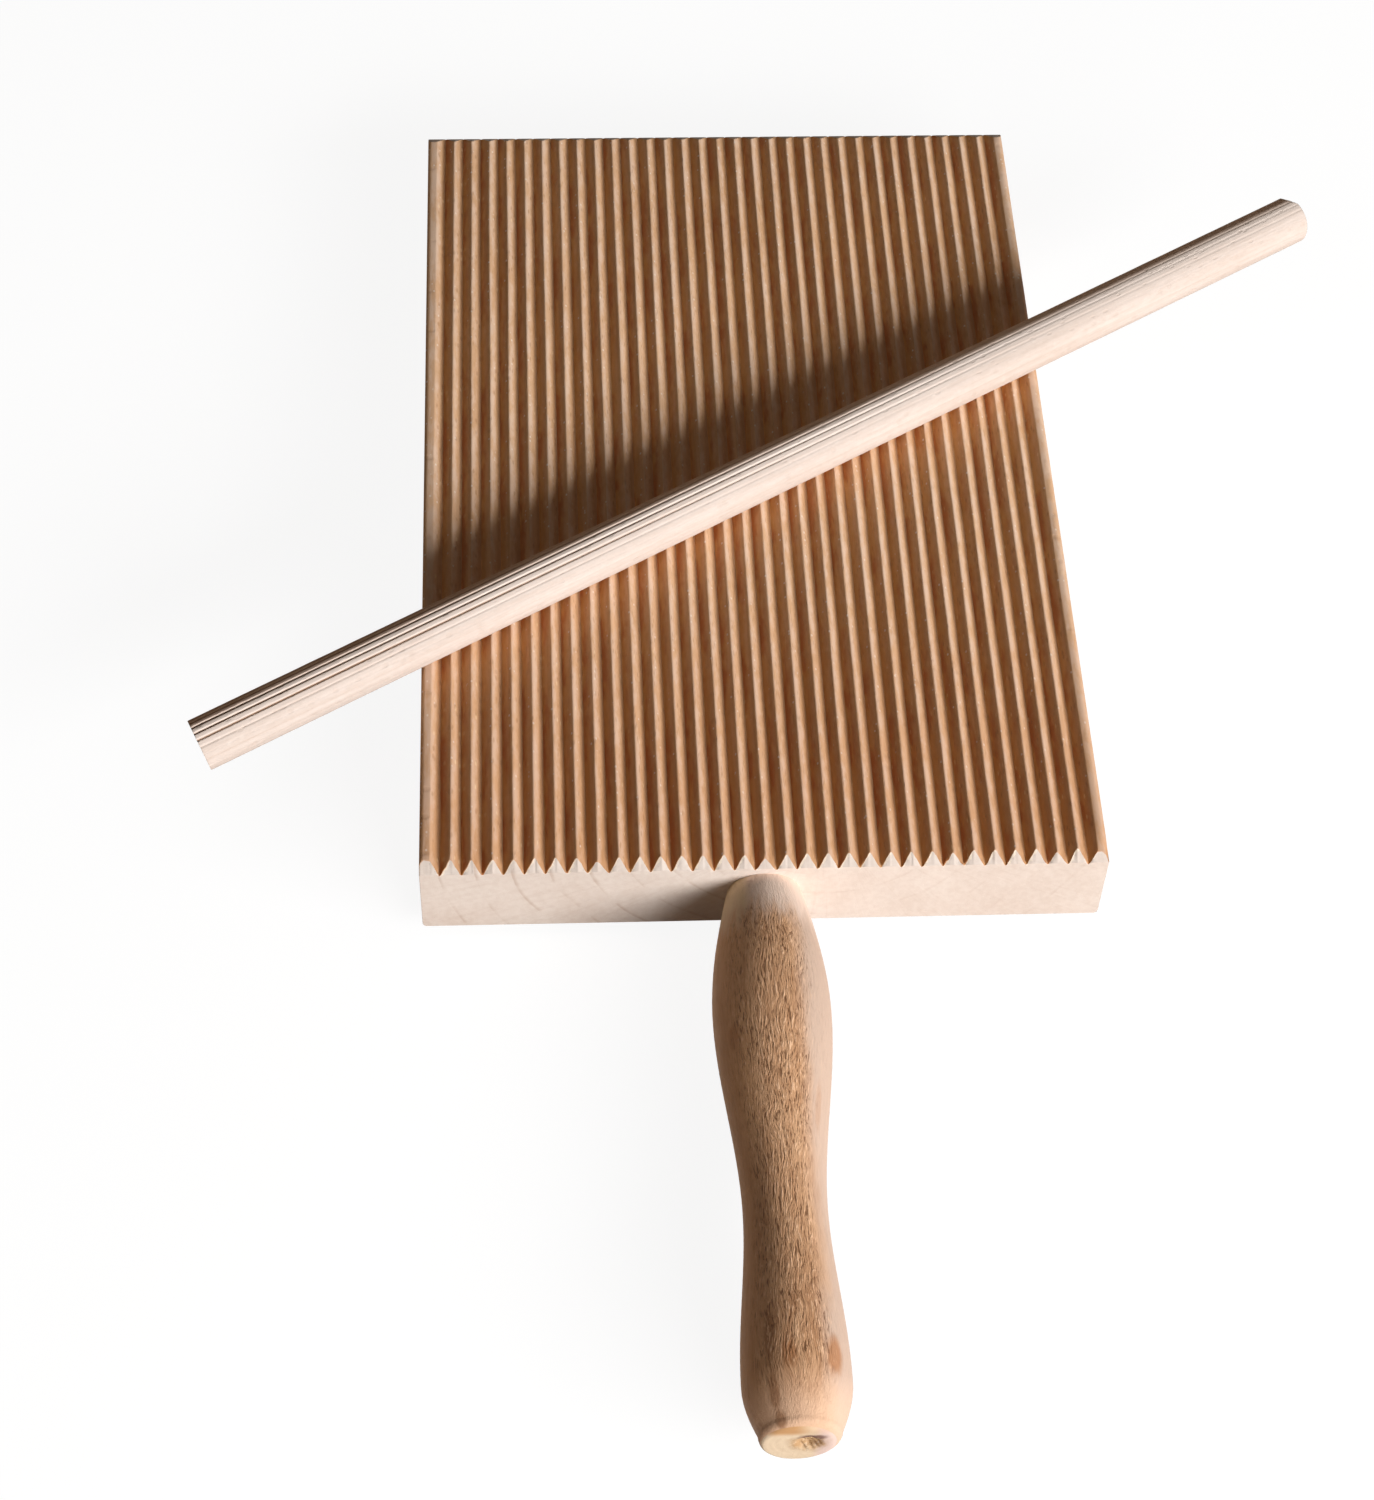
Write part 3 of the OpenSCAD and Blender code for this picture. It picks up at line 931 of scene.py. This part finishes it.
def flute_places():
    """Angles round the rod, how deep in its flute each one lies, and that flute's number."""
    half = FLUTE_W / 2
    pitch = math.pi * ROD_D / FLUTE_COUNT
    offsets = np.array([0.0, 0.13, 0.24, half, half + 0.09, (half + pitch / 2) / 2])
    offsets = np.concatenate([-offsets[:0:-1], offsets, [pitch / 2]])
    centres = (np.arange(FLUTE_COUNT) + 0.5) * pitch
    angles = (centres[:, None] + offsets).ravel() / ROD_R - math.pi / 2
    valley_ease = 0.0008
    vee = np.clip(1 - np.abs(np.tile(offsets, FLUTE_COUNT)) / (half + 0.03), 0, 1)
    vee = np.sqrt(vee ** 2 + valley_ease) - math.sqrt(valley_ease)
    number = np.repeat(np.arange(FLUTE_COUNT), len(offsets))
    return angles, vee, number


def flute_depths(along, angles, vee, number):
    """Depth of the flutes, which fade towards the right end and are worn off the rod's front."""
    fade = 1 - 0.85 * ease((along - 0.15 * ROD_L) / (0.65 * ROD_L))
    front = np.cos(angles) * (np.sin(angles) > -0.6)
    worn = 1 - 0.85 * ease((front - 0.3) / 0.5)
    uneven = 1 + 0.16 * ripple(UNEVEN_FLUTES, number[None, :] * 0.43, along[:, None] / 120)
    return FLUTE_DEPTH * fade[:, None] * np.clip(uneven, 0.6, 1.0) * (worn * vee)[None, :]


def rod_radius(along, angles, vee, number):
    """Radius at each distance and angle, with flutes, an eased rim and a flat chip at the right end."""
    end = (ROD_L - along)[:, None]
    rim = ROD_RIM - np.sqrt(np.maximum(ROD_RIM ** 2 - np.clip(ROD_RIM - end, 0, ROD_RIM) ** 2, 0))
    rim += 0.08 * np.exp(-along[:, None] / 0.1)
    surface = 0.022 + 0.012 * ripple(ROD_SURFACE, number[None, :] * 0.57, along[:, None] / 9)
    radius = ROD_R - flute_depths(along, angles, vee, number) - rim - np.clip(surface, 0.012, 0.04)
    radius = np.minimum(radius, ROD_R - ROD_RIM + end - 0.01)
    towards_chip = np.maximum(np.cos(angles - CHIP_ANGLE), 0.2)
    return np.minimum(radius, (CHIP_REACH + CHIP_SLOPE * end) / towards_chip)


def rod_ring(r, angles, at):
    """Ring of points at a distance along the rod, slanted near the sawn left end."""
    across, height = r * np.cos(angles), r * np.sin(angles)
    slant = -math.tan(LEFT_CUT_LEAN) * height - math.tan(LEFT_CUT_TURN) * across
    shift = slant * (1 - ease(at / SLANT_L))
    place = ROD_MIDDLE + (at - ROD_L / 2 + shift)[:, None] * ROD_AXIS
    return place + across[:, None] * ROD_SIDE + height[:, None] * UP


def close_rod(shell, edge, r, angles, at, inward):
    """End face of shrinking, uneven rings round one point. inward is 1 at the left end, else -1."""
    faces = [edge]
    for share in (0.85, 0.6, 0.35, 0.15):
        dent = END_DENT * (1 + ripple(ROD_ENDS, angles / 2, np.full(len(angles), share * 2)))
        faces.append(shell.add(rod_ring(r * share, angles, at) + inward * dent[:, None] * ROD_AXIS))
    shell.grid(np.stack(faces), 1, closed=True, flip=inward < 0)
    centre = shell.add([ROD_MIDDLE + ROD_AXIS * (at - ROD_L / 2 + inward * END_DENT)])[0]
    shell.fan(faces[-1], centre, 1, flip=inward < 0)


def build_rod():
    """Fluted rod with a sawn left end and a slightly chipped right end, as one closed mesh."""
    shell = Shell()
    angles, vee, number = flute_places()
    along = stations(END_INSET, ROD_L - END_INSET, ROD_STEP)
    radius = rod_radius(along, angles, vee, number)
    rows = np.stack([shell.add(rod_ring(r, angles, at)) for r, at in zip(radius, along)])
    shell.grid(rows, 0, closed=True, flip=True)
    close_rod(shell, rows[0], radius[0], angles, along[0], 1)
    close_rod(shell, rows[-1], radius[-1], angles, along[-1], -1)
    return shell.mesh("fluted_rod", [rod_wood, rod_end], SHARP_DEGREES)


# Floor, light and camera


def build_floor():
    """Pale floor that touches the board's far lower edge and the handle's swell."""
    size = 3.0
    clearance = 0.05
    tilt = math.atan2(-HANDLE_LOW[2], FAR_Y - (NEAR_Y - SWELL_AT))
    mesh = bpy.data.meshes.new("floor")
    corners = [(-size, -size, 0), (size, -size, 0), (size, size, 0), (-size, size, 0)]
    mesh.from_pydata(corners, [], [(0, 1, 2, 3)])
    mesh.materials.append(floor_material())
    floor = bpy.data.objects.new("floor", mesh)
    floor.location = (0, FAR_Y * MM, -clearance * MM)
    floor.rotation_euler = (tilt, 0, 0)
    bpy.context.scene.collection.objects.link(floor)


def floor_material():
    """Nearly white where it is seen, with a soft shadow, a dim warm bounce, and clear from below."""
    nodes = Nodes(bpy.data.materials.new("pale_floor"))
    glow = nodes.add("ShaderNodeEmission", {"Color": (1, 1, 1, 1), "Strength": FLOOR_GLOW}).outputs[0]
    lit = nodes.add("ShaderNodeBsdfDiffuse", {"Color": FLOOR_WHITE}).outputs[0]
    bounce = nodes.add("ShaderNodeBsdfDiffuse", {"Color": FLOOR_BOUNCE}).outputs[0]
    clear = nodes.add("ShaderNodeBsdfTransparent").outputs[0]
    back = nodes.add("ShaderNodeNewGeometry").outputs["Backfacing"]
    shown = nodes.add("ShaderNodeMixShader", {0: FLOOR_LIT_SHARE, 1: glow, 2: lit}).outputs[0]
    above = nodes.add("ShaderNodeMixShader", {0: nodes.seen(), 1: bounce, 2: shown}).outputs[0]
    surface = nodes.add("ShaderNodeMixShader", {0: back, 1: above, 2: clear}).outputs[0]
    nodes.add("ShaderNodeOutputMaterial", {"Surface": surface})
    return nodes.owner


def build_lamp():
    """One wide window-like lamp low at the near right."""
    azimuth, height = math.radians(-49), math.radians(21.5)
    half_width, half_height = math.radians(27), math.radians(7.5)
    distance = 1.15
    brightness = 4.85
    towards = Vector((
        math.cos(azimuth) * math.cos(height), math.sin(azimuth) * math.cos(height), math.sin(height)
    ))
    lamp = bpy.data.lights.new("key", "AREA")
    lamp.shape = "RECTANGLE"
    lamp.size = 2 * distance * math.tan(half_width)
    lamp.size_y = 2 * distance * math.tan(half_height)
    lamp.energy = brightness * math.pi * distance ** 2
    key = bpy.data.objects.new("key", lamp)
    key.location = towards * distance
    key.rotation_mode = "QUATERNION"
    key.rotation_quaternion = towards.to_track_quat("Z", "Y")
    key.visible_camera = False
    bpy.context.scene.collection.objects.link(key)


def build_surround():
    """Dim warm light from all round, brighter near the horizon, which looks white where it is seen."""
    nodes = Nodes(bpy.data.worlds.new("surround"))
    bpy.context.scene.world = nodes.owner
    seen = nodes.seen()
    up = nodes.split(nodes.add("ShaderNodeTexCoord").outputs["Generated"])[2]
    fill = nodes.spread(up, 0.1, 0.9, HORIZON_STRENGTH, OVERHEAD_STRENGTH)
    mixed = nodes.add("ShaderNodeMix", {"Factor": seen, 2: fill, 3: 1.0}, data_type="FLOAT")
    tint = nodes.mix(seen, SURROUND_WARM, (1, 1, 1))
    inputs = {"Color": tint, "Strength": mixed.outputs[0]}
    background = nodes.add("ShaderNodeBackground", inputs).outputs[0]
    nodes.add("ShaderNodeOutputWorld", {"Surface": background})


def build_camera():
    """Camera at the photograph's viewing angle."""
    place = Vector((-37.66, -393.57, 454.26)) * MM
    aim = Vector((-12.71, -68.14, 17.4)) * MM
    roll = math.radians(2.5133)
    lens = bpy.data.cameras.new("camera")
    lens.lens = 73.666
    lens.sensor_width = 36.0
    lens.clip_start, lens.clip_end = 0.01, 20.0
    camera = bpy.data.objects.new("camera", lens)
    camera.location = place
    turn = (aim - place).to_track_quat("-Z", "Y").to_matrix() @ Matrix.Rotation(roll, 3, "Z")
    camera.rotation_euler = turn.to_euler()
    bpy.context.scene.collection.objects.link(camera)
    bpy.context.scene.camera = camera


board = build_board()
cut_bore(board)
handle = build_handle()
rod = build_rod()
for piece, body, node, slot in (
    (board, "board", "grooved_board", "board_beech"),
    (handle, "board", "handle", "handle_beech"),
    (rod, "rod", "rolling_rod", "rod_beech"),
):
    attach(piece, body)
    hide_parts(node)

build_floor()
build_lamp()
build_surround()
build_camera()
bpy.context.scene.view_settings.view_transform = "Standard"
